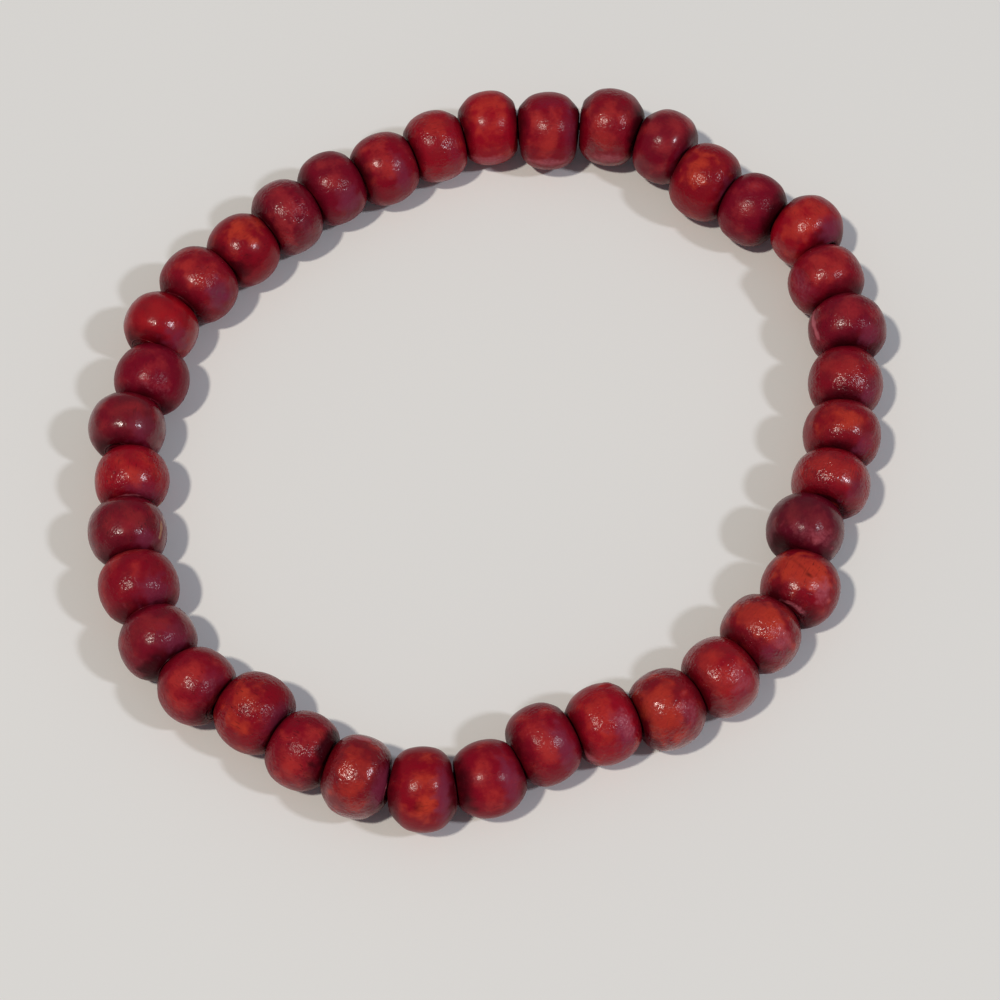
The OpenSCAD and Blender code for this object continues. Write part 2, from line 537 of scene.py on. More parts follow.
class Kind(Enum):
    """What a mark on a bead is."""

    # THIN also makes each bead's crown lighter and orange where the lamps fall on it, which is
    # painted light
    THIN = "thin stain, orange"
    # Most DEEP marks darken a bead's side next to its neighbour, which is painted shade in the
    # crease. A few are cracks and pits.
    DEEP = "deep stain, nearly brown"
    # A purple sheen painted on the lower right flanks: a painted reflection of the fill lamp and
    # the table
    BLUSH = "lacquer gone milky, which looks purple"
    # PALE also paints a pink sheen on the right flanks and lower edges: a painted reflection of the
    # lamps and the table
    PALE = "lacquer scuffed to a matt pink"
    BARE = "bare wood"
    ROUGH = "strongly wrinkled lacquer"
    FLAT = "flat spot"
    PIT = "sunk and dark"
    BUMP = "raised"


@dataclass(frozen=True)
class Mark:
    """A mark on a bead, placed by where the camera sees it.

    Attributes:
        bead: Number of the bead.
        kind: What it is.
        right: Millimetres to the right of the bead's middle.
        up: Millimetres above it in the picture.
        along: Half the mark's length along the bead's axis.
        around: Half its width round the bead.
        level: Strength, or for a flat, pit or bump its height in millimetres.
        turn: Turn of the mark on the surface, in degrees.
    """

    bead: int
    kind: Kind
    right: float
    up: float
    along: float
    around: float
    level: float = 1.0
    turn: float = 0.0


@dataclass(frozen=True)
class Look:
    """Stain and lacquer of one bead, and the light painted on its crown.

    Attributes:
        shade: Stain.
        glow: How much lighter and more orange the bead's crown is painted: partly stain worn
            thin, partly painted light where the lamps fall on it.
        right: Place of that lighter crown's middle to the right of the bead's, in millimetres.
        up: Its place above the bead's middle in the picture.
        wrinkle: How strongly the lacquer is wrinkled.
        film: How much lacquer is left, where 1 is usual.
        grain: How clearly the pores show.
        along: Half that lighter crown's length along the bead's axis.
        around: Half its width round the bead.
    """

    shade: Shade
    glow: float
    right: float = 0.0
    up: float = 1.2
    wrinkle: float = 0.5
    film: float = 1.0
    grain: float = 0.2
    along: float = 1.5
    around: float = 3.0


LOOKS: dict[int, Look] = {
    1: Look(Shade.SCARLET, 0.9, 0.0, 1.4, 0.4, 0.5),
    2: Look(Shade.CRIMSON, 0.8, -0.2, -0.2, 0.5, 0.6),
    3: Look(Shade.CRIMSON, 0.7, -0.6, 0.4, 0.6, 1.6),
    4: Look(Shade.CARMINE, 0.5, 0.2, 0.9, 0.35, 1.2),
    5: Look(Shade.BRICK, 0.9, -0.9, 1.2, 0.7, 0.8, 0.2, 1.3, 1.6),
    6: Look(Shade.CARMINE, 0.5, -0.3, 0.9, 0.7, 0.6),
    7: Look(Shade.SCARLET, 0.9, -0.3, 1.2, 0.5, 1.2, 0.2, 1.8, 2.6),
    8: Look(Shade.CRIMSON, 0.8, 0.0, 1.7, 0.6, 1.1),
    9: Look(Shade.CARMINE, 0.7, 0.0, 2.0, 0.7, 1.3),
    10: Look(Shade.CRIMSON, 0.6, 0.0, 1.7, 1.0, 1.8),
    11: Look(Shade.BRICK, 0.9, -0.2, 1.4, 0.8, 1.7, 0.2, 1.2, 2.4),
    12: Look(Shade.SCARLET, 0.9, 0.2, 1.5, 1.1, 3.0, 0.4, 1.3, 2.8),
    13: Look(Shade.MAROON, 0.7, 0.2, 1.0, 0.3, 1.6),
    14: Look(Shade.BRICK, 1.3, -0.2, 1.7, 0.5, 1.4, 0.4, 1.5, 3.0),
    15: Look(Shade.BRICK, 1.2, 0.2, 1.3, 0.9, 2.4),
    16: Look(Shade.SCARLET, 0.9, 0.0, 0.2, 0.8, 4.0),
    17: Look(Shade.BRICK, 1.0, -0.2, -0.2, 1.0, 2.4, 0.2, 1.7, 3.4),
    18: Look(Shade.SCARLET, 0.8, -0.2, 1.0, 0.8, 0.9, 0.2, 1.5, 2.4),
    19: Look(Shade.CRIMSON, 0.7, 0.0, 0.6, 0.7, 0.6),
    20: Look(Shade.CRIMSON, 0.65, 0.1, -0.4, 0.3, 0.4, 0.2, 0.9, 2.8),
    21: Look(Shade.BRICK, 0.75, 0.1, 0.0, 0.35, 0.5, 0.2, 1.2, 3.4),
    22: Look(Shade.BRICK, 0.8, -0.5, 0.0, 1.0, 4.0, 0.2, 1.5, 3.4),
    23: Look(Shade.CRIMSON, 0.8, -0.7, -0.6, 0.8, 1.0, 0.5, 1.5, 3.2),
    24: Look(Shade.BRICK, 0.75, -0.8, 0.6, 0.9, 1.1, 0.5, 1.3, 2.4),
    25: Look(Shade.CRIMSON, 0.65, -0.9, 0.6, 0.6, 0.9, 0.3),
    26: Look(Shade.CARMINE, 0.45, -0.3, 1.2, 0.5, 1.7),
    27: Look(Shade.CRIMSON, 0.5, -0.9, 1.3, 0.6, 0.9),
    28: Look(Shade.CARMINE, 0.6, -0.2, 1.4, 0.4, 2.4, 0.5),
    29: Look(Shade.SCARLET, 0.6, 0.0, 1.4, 0.9, 1.3, 0.4),
    30: Look(Shade.CARMINE, 0.6, 0.0, 1.7, 0.3, 2.6, 0.3),
    31: Look(Shade.CARMINE, 0.35, 0.0, 1.8, 0.5, 0.5),
    32: Look(Shade.CHERRY, 0.6, 0.0, 1.3, 0.25, 1.8, 0.1, 1.6, 2.8),
    33: Look(Shade.CRIMSON, 0.7, 0.2, 1.2, 0.8, 0.9),
    34: Look(Shade.BRICK, 0.8, 0.2, 1.9, 0.35, 0.7, 0.3, 1.4, 1.8),
    35: Look(Shade.CARMINE, 0.8, -0.3, 1.4, 0.8, 1.6),
    36: Look(Shade.CARMINE, 0.4, 0.0, 1.2, 0.6, 0.8),
    37: Look(Shade.CRIMSON, 0.7, -0.3, 1.0, 0.5, 0.8, 0.2),
    38: Look(Shade.SCARLET, 0.7, 0.1, 1.8, 0.8, 1.5, 0.3, 1.2, 2.4),
}

# Most DEEP marks, next to a neighbouring bead, are painted shade in the crease. The purple sheen
# marks are painted reflections of the fill lamp and the table. PALE marks are partly scuffs and
# partly painted sheen, such as the pink lower edges of beads 1 to 3 and the pink right flanks.
MARKS: list[Mark] = [
    Mark(1, Kind.PALE, 0.0, -3.0, 1.8, 0.8, 0.6),
    Mark(2, Kind.PALE, 0.0, -3.0, 1.8, 0.8, 0.6),
    Mark(2, Kind.BLUSH, 0.3, 2.6, 1.9, 0.9, 0.4),
    Mark(2, Kind.BLUSH, 2.0, 0.0, 0.8, 2.6, 0.6),
    Mark(3, Kind.PALE, 0.0, -3.0, 1.8, 0.8, 0.6),
    Mark(3, Kind.DEEP, 2.3, 0.0, 1.0, 2.2, 0.8),
    Mark(4, Kind.BLUSH, 1.9, -0.7, 1.0, 1.8, 0.7),
    Mark(5, Kind.BLUSH, 2.1, -0.4, 1.0, 1.8, 0.9),
    Mark(6, Kind.PALE, -0.2, 2.2, 1.2, 1.2, 0.25),
    Mark(6, Kind.DEEP, 2.2, 0.2, 1.0, 1.8, 0.45),
    Mark(7, Kind.BLUSH, 2.2, 0.3, 1.4, 1.2, 1.0),
    Mark(8, Kind.FLAT, -2.4, -0.6, 1.5, 1.0, 0.3),
    Mark(8, Kind.PALE, -2.3, -0.8, 1.5, 0.9, 0.3),
    Mark(8, Kind.BLUSH, -2.2, -0.8, 1.7, 1.2, 0.6),
    Mark(9, Kind.PALE, -3.0, -0.2, 1.8, 0.3, 0.9),
    Mark(9, Kind.DEEP, 0.3, -1.0, 0.8, 1.6, 0.3),
    Mark(9, Kind.BLUSH, 2.1, 0.0, 1.3, 1.2, 0.8),
    Mark(10, Kind.BLUSH, 2.3, -0.3, 1.3, 1.0, 0.9),
    Mark(10, Kind.DEEP, 0.0, -0.9, 0.7, 2.0, 0.35),
    Mark(11, Kind.BLUSH, 2.2, -0.4, 1.3, 1.0, 0.9),
    Mark(11, Kind.DEEP, 0.0, -0.9, 0.6, 2.0, 0.3),
    Mark(12, Kind.DEEP, 0.3, -1.3, 0.25, 2.0, 0.5),
    Mark(12, Kind.THIN, 0.4, -1.8, 0.3, 1.6, 0.9),
    Mark(12, Kind.BLUSH, 2.3, -0.2, 1.3, 1.0, 0.9),
    Mark(13, Kind.DEEP, -1.9, -1.4, 1.0, 0.8, 0.6),
    Mark(13, Kind.PALE, 0.2, -0.2, 0.9, 2.2, 0.35),
    Mark(13, Kind.PALE, 2.0, 0.0, 1.2, 1.1, 0.25),
    Mark(14, Kind.DEEP, -0.2, 1.9, 0.2, 1.2, 0.5, 25),
    Mark(14, Kind.DEEP, 0.4, 1.2, 0.2, 0.8, 0.4, -30),
    Mark(14, Kind.PALE, -0.05, -1.42, 0.26, 1.4, 0.72),
    Mark(14, Kind.DEEP, -0.05, -1.42, 0.05, 1.2, 0.6),
    Mark(14, Kind.PALE, 2.0, 0.1, 1.2, 1.0, 0.6),
    Mark(14, Kind.DEEP, -2.2, 0.2, 1.4, 1.0, 0.4),
    Mark(14, Kind.ROUGH, -0.1, -1.5, 0.6, 1.6, 2.0),
    Mark(15, Kind.BLUSH, 1.6, -1.2, 1.4, 1.4, 0.8),
    Mark(15, Kind.PALE, 1.9, 0.0, 1.1, 1.4, 0.5),
    Mark(16, Kind.BLUSH, 2.0, -0.8, 1.0, 1.8, 0.6),
    Mark(16, Kind.PALE, 1.9, 0.2, 1.0, 1.4, 0.45),
    Mark(17, Kind.BLUSH, 2.1, -0.6, 0.9, 1.8, 0.6),
    Mark(17, Kind.PALE, 1.9, 0.2, 0.8, 1.4, 0.4),
    Mark(18, Kind.BUMP, 0.0, 3.4, 0.5, 0.5, 0.1),
    Mark(18, Kind.BLUSH, 1.9, -0.6, 0.9, 2.2, 0.9),
    Mark(18, Kind.PALE, -1.0, -2.8, 0.7, 0.6, 0.6),
    Mark(18, Kind.PALE, 1.9, 0.2, 0.8, 1.6, 0.5),
    Mark(19, Kind.BLUSH, 1.9, -0.3, 0.9, 2.4, 0.9),
    Mark(20, Kind.BLUSH, 1.9, -0.3, 0.8, 2.4, 0.9),
    Mark(20, Kind.DEEP, -1.8, 0.2, 0.9, 2.4, 0.4),
    Mark(21, Kind.BLUSH, 1.8, -0.6, 0.7, 2.6, 1.0),
    Mark(21, Kind.DEEP, -0.5, -1.5, 0.6, 0.5, 0.6),
    Mark(22, Kind.BLUSH, 1.7, -0.9, 0.8, 2.2, 1.1),
    Mark(22, Kind.PALE, 0.6, 3.2, 1.0, 0.5, 0.7),
    Mark(23, Kind.DEEP, 2.1, 0.4, 0.8, 2.0, 0.8),
    Mark(24, Kind.BLUSH, 1.9, -0.5, 0.9, 2.2, 0.6),
    Mark(25, Kind.PIT, 1.3, -1.9, 0.5, 0.45, 0.12),
    Mark(25, Kind.BLUSH, 1.4, 0.3, 0.9, 1.8, 0.5),
    Mark(26, Kind.BLUSH, 1.6, 0.1, 1.2, 1.8, 0.8),
    Mark(26, Kind.DEEP, 0.0, -2.1, 1.5, 1.6, 0.6),
    Mark(27, Kind.BLUSH, 1.4, -0.6, 1.4, 1.6, 0.8),
    Mark(28, Kind.BLUSH, 1.4, -0.8, 0.9, 0.9, 1.0),
    Mark(28, Kind.BARE, 3.0, -0.2, 0.9, 0.28, 0.8),
    Mark(29, Kind.BARE, 2.0, -2.6, 0.3, 0.45, 1.0),
    Mark(29, Kind.PALE, -0.4, -1.1, 0.15, 1.1, 0.7),
    Mark(29, Kind.BLUSH, 1.0, -1.0, 0.8, 2.0, 0.7),
    Mark(30, Kind.BLUSH, 1.6, -0.3, 1.3, 1.4, 0.9),
    Mark(31, Kind.PALE, 0.2, -0.4, 0.9, 2.4, 0.3),
    Mark(32, Kind.BLUSH, 1.4, -1.3, 1.0, 1.4, 0.9),
    Mark(33, Kind.FLAT, 1.9, -1.1, 1.2, 1.2, 0.15),
    Mark(33, Kind.BLUSH, 1.8, -1.1, 1.3, 1.4, 1.2),
    Mark(33, Kind.PIT, 1.7, -1.0, 0.22, 0.22, 0.07),
    Mark(33, Kind.PIT, 2.2, -1.2, 0.22, 0.22, 0.07),
    Mark(34, Kind.DEEP, 0.1, -1.6, 1.2, 1.0, 0.6),
    Mark(35, Kind.ROUGH, 1.1, 0.7, 1.2, 1.2, 0.8),
    Mark(35, Kind.PALE, 1.1, 0.7, 0.9, 0.9, 0.3),
    Mark(35, Kind.THIN, -0.4, -1.5, 0.9, 1.4, 0.6),
    Mark(35, Kind.BLUSH, 1.8, -1.2, 0.8, 1.2, 0.6),
    Mark(36, Kind.BLUSH, 1.5, -1.2, 1.2, 1.4, 1.0),
    Mark(37, Kind.DEEP, -0.4, 0.8, 0.16, 0.16, 0.6),
    Mark(37, Kind.DEEP, -2.0, 0.0, 0.8, 2.0, 0.25),
    Mark(37, Kind.BLUSH, 1.7, -0.8, 0.9, 2.0, 0.8),
    Mark(38, Kind.BLUSH, 1.7, -0.6, 0.8, 1.8, 0.5),
]


@dataclass(frozen=True)
class Waves:
    """Unevenness of a bead: a smooth random field, as the sum of waves in random directions.

    Attributes:
        width: Usual wave length, in millimetres.
        strength: What the field is multiplied by. Before that it is mostly between -2 and 2.
        seed: What is added to the seed, to tell this field from the bead's other ones.
        count: Number of waves.
        spread: Shortest and longest wave, as shares of the usual one.
    """

    width: float
    strength: float
    seed: int
    count: int = 18
    spread: tuple[float, float] = (0.75, 1.35)

    def over(self, places: np.ndarray, seed: int) -> np.ndarray:
        """Works out the field over a bead.

        Args:
            places: Points on the bead, in millimetres.
            seed: Seed of the bead.

        Returns:
            A value for each point.
        """
        random = np.random.default_rng(seed + self.seed)
        directions = random.normal(size=(self.count, 3))
        directions /= np.linalg.norm(directions, axis=1)[:, None]
        lengths = self.width * random.uniform(*self.spread, self.count)
        phases = random.uniform(0, 2 * math.pi, self.count)
        angles = places @ (directions * (2 * math.pi / lengths)[:, None]).T + phases
        return self.strength * (np.sin(angles).sum(axis=1) * math.sqrt(2 / self.count))


def step(values: np.ndarray, low: float, high: float) -> np.ndarray:
    """Smooth step of the values, from 0 at low to 1 at high. Where low is higher, it falls."""
    share = np.clip((values - low) / (high - low), 0, 1)
    return share * share * (3 - 2 * share)


def new_piece(name: str, places: np.ndarray, columns: int) -> bpy.types.Object:
    """Makes a mesh object from a grid of points that closes on itself both ways.

    Args:
        name: Name of the piece.
        places: Points, row by row, in millimetres.
        columns: Number of points in a row.

    Returns:
        The object, smooth shaded.
    """
    rows = len(places) // columns
    first = np.arange(rows * columns).reshape(rows, columns)
    right = np.roll(first, -1, axis=1)
    below = np.roll(first, -1, axis=0)
    corner = np.roll(right, -1, axis=0)
    faces = np.stack([first, right, corner, below], axis=-1).reshape(-1, 4)
    mesh = bpy.data.meshes.new(name)
    mesh.from_pydata((places * MM).tolist(), [], faces.tolist())
    mesh.shade_smooth()
    piece = bpy.data.objects.new(name, mesh)
    bpy.context.scene.collection.objects.link(piece)
    return piece


def store(piece: bpy.types.Object, name: str, values: np.ndarray) -> None:
    """Stores a value or a vector for each point of a piece's mesh, for its material.

    Args:
        piece: The piece.
        name: Name of the attribute.
        values: One number or three numbers for each point.
    """
    vector = values.ndim == 2
    kind = "FLOAT_VECTOR" if vector else "FLOAT"
    attribute = piece.data.attributes.new(name, kind, "POINT")
    attribute.data.foreach_set("vector" if vector else "value", values.astype(np.float32).ravel())


@dataclass
class Bead:
    """One turned bead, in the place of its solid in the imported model."""

    number: int
    centre: np.ndarray
    axis: np.ndarray
    diameter: float
    length: float
    eye: np.ndarray
    # The outline's shares of the diameter and its hole, as on the solid
    crown_share: float = 0.55
    shoulder_share: float = 0.26
    bore: float = 2.0
    mouth: float = 0.2
    # Steps of the mesh round the bead, and along the parts of its outline
    columns: int = 128
    crown_steps: int = 44
    shoulder_steps: int = 12
    face_steps: int = 4
    lip_points: int = 4
    bore_steps: int = 4
    # How far a bead is worn out of round, half of it on the average
    wobble: float = 0.09
    wobble_mean: float = 0.5
    wobble_waves: Waves = Waves(5.5, 0.25, 0)
    # How far its lacquer lies uneven on the wall, which starts so far from the bead's middle
    swell: float = 0.006
    swell_waves: Waves = Waves(1.5, 0.5, 1)
    wall_start: tuple[float, float] = (2.3, 2.9)
    # The hole stays round, and the face so far round it stays flat
    hole_margin: float = 0.4
    # How unevenly the lacquer wrinkles, the pores show and the stain soaks in
    wrinkle_waves: Waves = Waves(3.0, 0.35, 2)
    grain_waves: Waves = Waves(2.2, 0.35, 3)
    stain_waves: Waves = Waves(2.0, 0.16, 4)
    # How much darker the ends round the hole are painted, as end grain that takes more stain and as
    # painted shade in the creases between beads, and the shares of the bead's half length where it
    # starts to and where it fully does
    end_grain_and_crease_shade: float = 0.9
    end_start: tuple[float, float] = (0.5, 1.05)
    # Share of a look's glow that its lighter crown, partly thin stain and partly painted light, has
    # in the middle
    crown_glow: float = 0.8
    # A mark is gone and is full at these shares of its size, and its edge is ragged
    mark_edge: tuple[float, float] = (1.6, 0.3)
    mark_waves: Waves = Waves(0.9, 0.16, 300)
    # A mark near the axis is as wide as at this distance from it
    mark_radius: float = 1.5
    # Share of what stands out over a flat that is gone, and how dark a pit is
    flat_share: float = 0.9
    pit_darkening: float = 1.2
    # No mask is stored stronger than this
    mask_limit: float = 3.0
    # A bead's seed is its number times this
    seed_step: int = 10
    # Its pattern is cut from the noise at a random place, up to so many millimetres from the
    # noise's origin along each axis
    pattern_seed: int = 5
    pattern_reach: float = 60.0
    # For both ends, a point and the normal of the plane halfway to the neighbour's end. The
    # ends lean towards it by up to a reach, and stop short of it by half the parting.
    planes: list[tuple[np.ndarray, np.ndarray]] = field(default_factory=list)
    reach: float = 0.42
    parting: float = 0.05
    # Where they start to lean and where they fully do: as a distance from the axis, as a share
    # of the half length and as a distance from where the elastic crosses the gap
    lean_radius: tuple[float, float] = (3.0, 1.4)
    lean_along: tuple[float, float] = (0.5, 0.9)
    lean_clear: tuple[float, float] = (0.6, 1.2)

    def end(self, side: int) -> np.ndarray:
        """Middle of the bead's end on this side, -1 or 1."""
        return self.centre + self.axis * side * self.length / 2

    def outline(self) -> np.ndarray:
        """Works out the outline of the bead and its hole.

        Returns:
            Points as (distance from the axis, place along it), as a closed loop.
        """
        crown = self.diameter * (0.5 - self.crown_share)
        rise = self.length / 2 - self.shoulder_share * self.diameter
        reach = (self.crown_share - self.shoulder_share) * self.diameter
        corner = crown + math.sqrt(reach * reach - rise * rise)
        meet = math.atan2(rise, corner - crown)
        wide, narrow = self.crown_share * self.diameter, self.shoulder_share * self.diameter
        inner, half = self.bore / 2, self.length / 2
        low = [
            (corner + narrow * math.cos(a), narrow * math.sin(a) - rise)
            for a in np.linspace(-math.pi / 2, -meet, self.shoulder_steps, endpoint=False)
        ]
        side = [
            (crown + wide * math.cos(a), wide * math.sin(a))
            for a in np.linspace(-meet, meet, self.crown_steps, endpoint=False)
        ]
        high = [
            (corner + narrow * math.cos(a), narrow * math.sin(a) + rise)
            for a in np.linspace(meet, math.pi / 2, self.shoulder_steps, endpoint=False)
        ]
        face = [
            (r, half)
            for r in np.linspace(corner, inner + self.mouth, self.face_steps, endpoint=False)
        ]
        lip = [
            (inner + self.mouth * (1 - math.sin(a)), half - self.mouth * (1 - math.cos(a)))
            for a in np.linspace(0, math.pi / 2, self.lip_points)
        ]
        depths = np.linspace(half - self.mouth, self.mouth - half, self.bore_steps + 1)
        hole = [(inner, s) for s in depths[1:-1]]
        back_lip = [(r, -s) for r, s in reversed(lip)]
        back_face = [(r, -half) for r, _ in reversed(face)]
        return np.array(low + side + high + face + lip + hole + back_lip + back_face)

    def grid(self) -> tuple[np.ndarray, np.ndarray, np.ndarray]:
        """Works out the points of the bead before its flaws.

        Returns:
            For each point its (distance from the axis, place along it), its angle round the
            axis and its direction outwards from the outline, as (outwards, along).
        """
        outline = self.outline()
        tangent = np.roll(outline, -1, axis=0) - np.roll(outline, 1, axis=0)
        outwards = np.stack([tangent[:, 1], -tangent[:, 0]], axis=1)
        outwards /= np.linalg.norm(outwards, axis=1)[:, None]
        angles = np.arange(self.columns) * 2 * math.pi / self.columns
        rows = len(outline)
        return (
            np.repeat(outline, self.columns, axis=0),
            np.tile(angles, rows),
            np.repeat(outwards, self.columns, axis=0),
        )

    def place(self, radius: np.ndarray, along: np.ndarray, angle: np.ndarray) -> np.ndarray:
        """Points in the shared frame from their distance, place along the axis and angle."""
        across = np.cross(UPWARDS, self.axis)
        spoke = np.outer(np.cos(angle), across) + np.outer(np.sin(angle), UPWARDS)
        return self.centre + np.outer(along, self.axis) + radius[:, None] * spoke

    def lean(self, places: np.ndarray, radius: np.ndarray, along: np.ndarray) -> np.ndarray:
        """Works out how far the bead's ends lean along its axis, to meet the neighbours' ends.

        They stay where they are next to the place where the elastic crosses the gap.

        Args:
            places: Points in the shared frame.
            radius: Their distances from the bead's axis.
            along: Their places along it.

        Returns:
            The shift of each point along the axis.
        """
        shift = np.zeros(len(places))
        for side, (point, normal) in zip((-1, 1), self.planes):
            room = side * ((point - places) @ normal) / (self.axis @ normal) - self.parting / 2
            weight = step(radius, *self.lean_radius)
            weight *= step(side * along / (self.length / 2), *self.lean_along)
            weight *= step(np.linalg.norm(places - point, axis=1), *self.lean_clear)
            shift += side * np.clip(room, 0, self.reach) * weight
        return shift

    def seen(self, places: np.ndarray) -> np.ndarray:
        """Works out where the camera sees points, from the bead's middle.

        Args:
            places: Points in the shared frame.

        Returns:
            For each point its distance to the right, upwards and towards the camera.
        """
        towards = self.eye - self.centre
        towards /= np.linalg.norm(towards)
        right = np.cross(UPWARDS, towards)
        right /= np.linalg.norm(right)
        return (places - self.centre) @ np.stack([right, np.cross(towards, right), towards], axis=1)

    def footprint(
        self,
        mark: Mark,
        points: np.ndarray,
        angles: np.ndarray,
        view: np.ndarray,
        local: np.ndarray,
    ) -> tuple[np.ndarray, int]:
        """Works out how far points lie from a mark's middle, as a share of the mark's size.

        Args:
            mark: The mark.
            points: (distance from the axis, place along it) of each point.
            angles: Angle of each point round the axis.
            view: Where the camera sees each point.
            local: Each point's place on the bead.

        Returns:
            The share for each point, 1 at the mark's edge, and the number of the middle point.
        """
        miss = (view[:, 0] - mark.right) ** 2 + (view[:, 1] - mark.up) ** 2
        middle = int(np.argmin(np.where(view[:, 2] > 0, miss, np.inf)))
        reach = max(points[middle, 0], self.mark_radius)
        turned = (angles - angles[middle] + math.pi) % (2 * math.pi) - math.pi
        tilt = math.atan2(points[middle, 1], points[middle, 0])
        slope = np.arctan2(points[:, 1], points[:, 0]) - tilt
        along, around = slope * np.hypot(*points[middle]), turned * reach
        angle = math.radians(mark.turn)
        first = (along * math.cos(angle) + around * math.sin(angle)) / mark.along
        second = (around * math.cos(angle) - along * math.sin(angle)) / mark.around
        ragged = 1 + self.mark_waves.over(local, mark.bead)
        return np.hypot(first, second) * ragged, middle

    def build(self) -> bpy.types.Object:
        """Makes the bead's piece, without its material.

        Returns:
            The piece, with its place on the bead and its masks as attributes of its mesh.
        """
        look = LOOKS[self.number]
        points, angles, outwards = self.grid()
        local = np.stack(
            [points[:, 1], points[:, 0] * np.cos(angles), points[:, 0] * np.sin(angles)], axis=1
        )
        bare_place = self.place(points[:, 0], points[:, 1], angles)
        view = self.seen(bare_place)
        wall = step(np.hypot(points[:, 0], points[:, 1]), *self.wall_start)
        seed = self.number * self.seed_step
        rise = -self.wobble * (self.wobble_mean + self.wobble_waves.over(local, seed))
        rise += -self.swell * (1 + self.swell_waves.over(local, seed)) * wall
        # The ends are painted darker: stain in the end grain, and painted shade in the creases
        # between beads
        end = step(np.abs(points[:, 1]) / (self.length / 2), *self.end_start)
        masks = {
            "thin": self.stain_waves.over(local, seed),
            "deep": self.end_grain_and_crease_shade * end,
            "blush": np.zeros(len(points)),
            "pale": np.zeros(len(points)),
            "bare": np.zeros(len(points)),
            "wrinkle": look.wrinkle * (1 + self.wrinkle_waves.over(local, seed)),
            "grain": look.grain * (1 + self.grain_waves.over(local, seed)),
            "film": np.full(len(points), look.film),
        }
        # The crown is painted lighter and orange where the lamps fall on it: thin stain and painted
        # light
        glow = look.glow * self.crown_glow
        crown = Mark(self.number, Kind.THIN, look.right, look.up, look.along, look.around, glow)
        for mark in [crown, *[m for m in MARKS if m.bead == self.number]]:
            share, middle = self.footprint(mark, points, angles, view, local)
            soft = step(share, *self.mark_edge)
            if mark.kind in (Kind.THIN, Kind.DEEP, Kind.BLUSH, Kind.PALE, Kind.BARE):
                masks[mark.kind.name.lower()] += mark.level * soft
            elif mark.kind == Kind.ROUGH:
                masks["wrinkle"] += mark.level * soft
            elif mark.kind == Kind.FLAT:
                facing = bare_place[middle] - self.centre
                facing /= np.linalg.norm(facing)
                height = (bare_place - self.centre) @ facing
                top = height[middle] - mark.level
                rise -= np.maximum(height - top, 0) * self.flat_share
            elif mark.kind == Kind.PIT:
                rise -= mark.level * soft
                masks["deep"] += self.pit_darkening * soft
            elif mark.kind == Kind.BUMP:
                rise += mark.level * soft
        # The thirsty end grain leaves no film on top, and neither do the marks of painted shade and
        # the pits, which share its mask
        masks["film"] *= 1 - np.clip(masks["deep"], 0, 1)
        rise *= np.where(points[:, 0] < self.bore / 2 + self.hole_margin, 0.0, 1.0)
        along = points[:, 1] + rise * outwards[:, 1] + self.lean(bare_place, *points.T)
        places = self.place(points[:, 0] + rise * outwards[:, 0], along, angles)
        places[:, 2] = np.maximum(places[:, 2], 0.0)
        piece = new_piece(f"turned_{bead_name(self.number)}", places, self.columns)
        random = np.random.default_rng(seed + self.pattern_seed)
        offset = random.uniform(-self.pattern_reach, self.pattern_reach, 3)
        store(piece, "turned", local + offset)
        for name, values in masks.items():
            store(piece, name, np.clip(values, 0, self.mask_limit))
        return piece


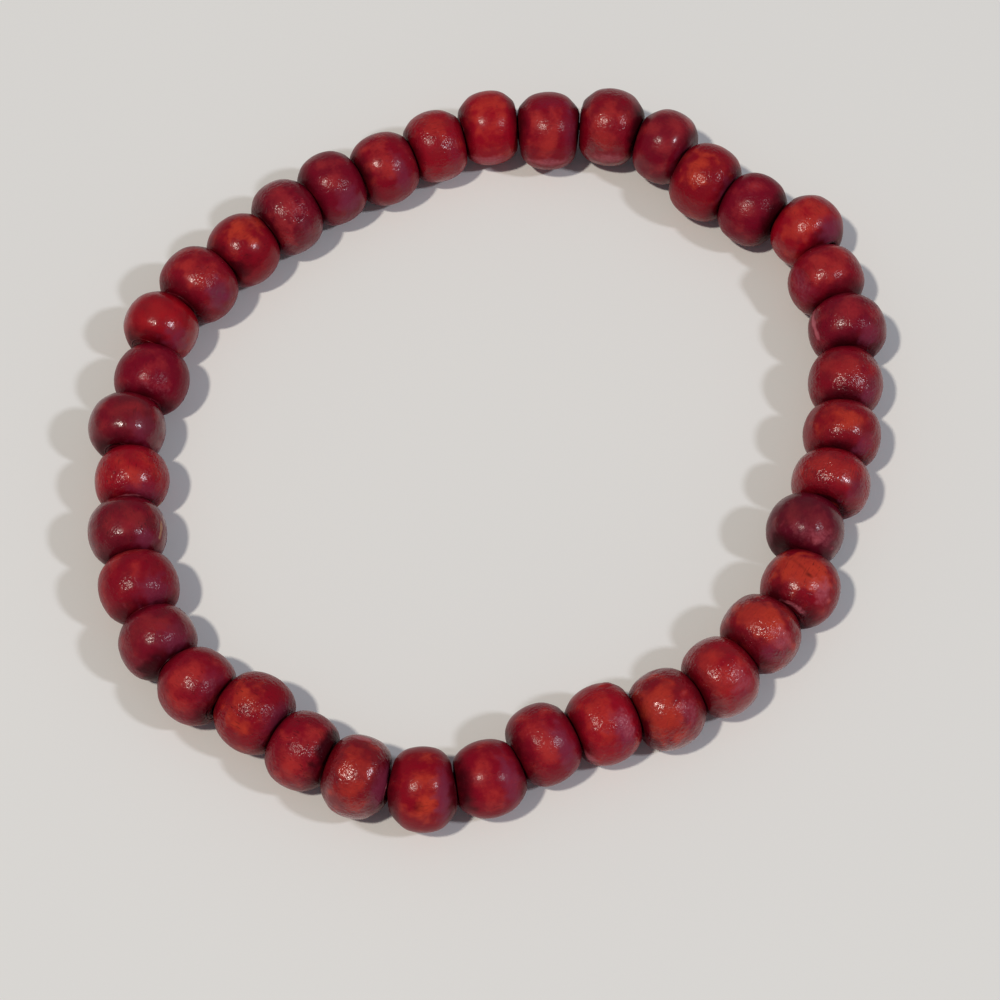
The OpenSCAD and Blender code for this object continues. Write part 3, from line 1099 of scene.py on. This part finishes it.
@dataclass
class BeadString:
    """All beads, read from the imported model, and the elastic through them."""

    eye: np.ndarray
    beads: list[Bead] = field(default_factory=list)
    cord_diameter: float = 0.7
    # Air between the elastic and the wall of a hole, as on the solid
    cord_air: float = 0.12
    cord_sides: int = 12
    # Its rings in a bead, and its whole run round the bracelet
    cord_rings: int = 6
    cord_run: float = 205.0
    # The knot is pulled into this bead's hole, and tapers off between these shares of its half
    knot_bead: int = 34
    knot_diameter: float = 1.5
    knot_length: float = 1.8
    knot_taper: tuple[float, float] = (1.0, 0.5)
    knot_rings: int = 40
    # A bead's axis is found to this many degrees
    turn_step: float = 0.1

    def solid(self, number: int) -> np.ndarray:
        """Points of a bead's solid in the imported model."""
        return np.array([v.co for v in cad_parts[bead_name(number)].data.vertices]) / MM

    def read(self) -> None:
        """Reads where each bead lies, its size and its axis from its solid."""
        solids = {n: self.solid(n) for n in range(1, BEAD_COUNT + 1)}
        middles = {n: (s.min(0) + s.max(0)) / 2 for n, s in solids.items()}
        turns = np.radians(np.arange(0, 180, self.turn_step))
        lines = np.stack([np.cos(turns), np.sin(turns), 0 * turns])
        for number, solid in solids.items():
            reach = (solid @ lines).max(0) - (solid @ lines).min(0)
            axis = lines[:, int(np.argmin(reach))]
            run = middles[number % BEAD_COUNT + 1] - middles[(number - 2) % BEAD_COUNT + 1]
            axis = axis * (1 if axis @ run > 0 else -1)
            diameter = float(np.ptp(solid[:, 2]))
            self.beads.append(
                Bead(number, middles[number], axis, diameter, float(reach.min()), self.eye)
            )
        for bead, following in zip(self.beads, self.beads[1:] + self.beads[:1]):
            normal = bead.axis + following.axis
            plane = ((bead.end(1) + following.end(-1)) / 2, normal / np.linalg.norm(normal))
            bead.planes.append(plane)
            following.planes.insert(0, plane)

    def cord_line(self) -> tuple[np.ndarray, np.ndarray, np.ndarray]:
        """Works out the elastic's line, which is stretched straight from mouth to mouth.

        At each mouth it lies off the hole's middle towards the middle of the gap, as far as
        the hole lets it.

        Returns:
            Points of a closed line, with the elastic's direction and radius at each.
        """
        line, directions, radii = [], [], []
        for bead in self.beads:
            across = np.cross(UPWARDS, bead.axis)
            slack = (bead.bore - self.cord_diameter) / 2 - self.cord_air
            mouths = []
            for side, (gap_middle, _) in zip((-1, 1), bead.planes):
                off = gap_middle - bead.end(side)
                sideways = np.clip(off @ across, -slack, slack) * across
                mouths.append(bead.end(side) + sideways + off * UPWARDS)
            run = mouths[1] - mouths[0]
            knotted = bead.number == self.knot_bead
            shares = np.linspace(0, 1, self.knot_rings if knotted else self.cord_rings)
            line += [mouths[0] + run * share for share in shares]
            directions += [run / np.linalg.norm(run)] * len(shares)
            off_knot = np.abs(shares - 0.5) * np.linalg.norm(run) / (self.knot_length / 2)
            swelling = (self.knot_diameter - self.cord_diameter) * step(off_knot, *self.knot_taper)
            radii += ((self.cord_diameter + swelling * knotted) / 2).tolist()
        return np.array(line), np.array(directions), np.array(radii)

    def build_cord(self) -> bpy.types.Object:
        """Makes the elastic as a round tube.

        Returns:
            The piece, without its material.
        """
        line, along, radii = self.cord_line()
        side = np.cross(UPWARDS, along)
        side /= np.linalg.norm(side, axis=1)[:, None]
        above = np.cross(along, side)
        angles = np.arange(self.cord_sides) * 2 * math.pi / self.cord_sides
        rings = [
            line + radii[:, None] * (math.cos(a) * side + math.sin(a) * above)
            for a in reversed(angles)
        ]
        places = np.stack(rings, axis=1).reshape(-1, 3)
        piece = new_piece("elastic", places, self.cord_sides)
        run = np.repeat(np.linspace(0, self.cord_run, len(line)), self.cord_sides)
        turn = np.tile(angles, len(line))
        radius = np.repeat(radii, self.cord_sides)
        local = np.stack([run, radius * np.cos(turn), radius * np.sin(turn)], axis=1)
        store(piece, "turned", local)
        return piece

    def build(self) -> None:
        """Makes and dresses all beads and the elastic."""
        self.read()
        finishes = {shade: LacqueredBeech(shade).build() for shade in Shade}
        for bead in self.beads:
            piece = bead.build()
            piece.data.materials.append(finishes[LOOKS[bead.number].shade])
            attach(piece, "root")
            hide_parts(bead_name(bead.number))
            LOG.info("%s: %d faces", piece.name, len(piece.data.polygons))
        cord = self.build_cord()
        cord.data.materials.append(LatexElastic().build())
        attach(cord, "root")
        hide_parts("elastic_cord")
        LOG.info("%s: %d faces", cord.name, len(cord.data.polygons))


def main() -> None:
    """Builds the studio and the bracelet."""
    logging.basicConfig(level=logging.INFO, format="%(message)s")
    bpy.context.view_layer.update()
    studio = Studio()
    studio.build()
    BeadString(studio.eye()).build()


if __name__ == "__main__":
    main()
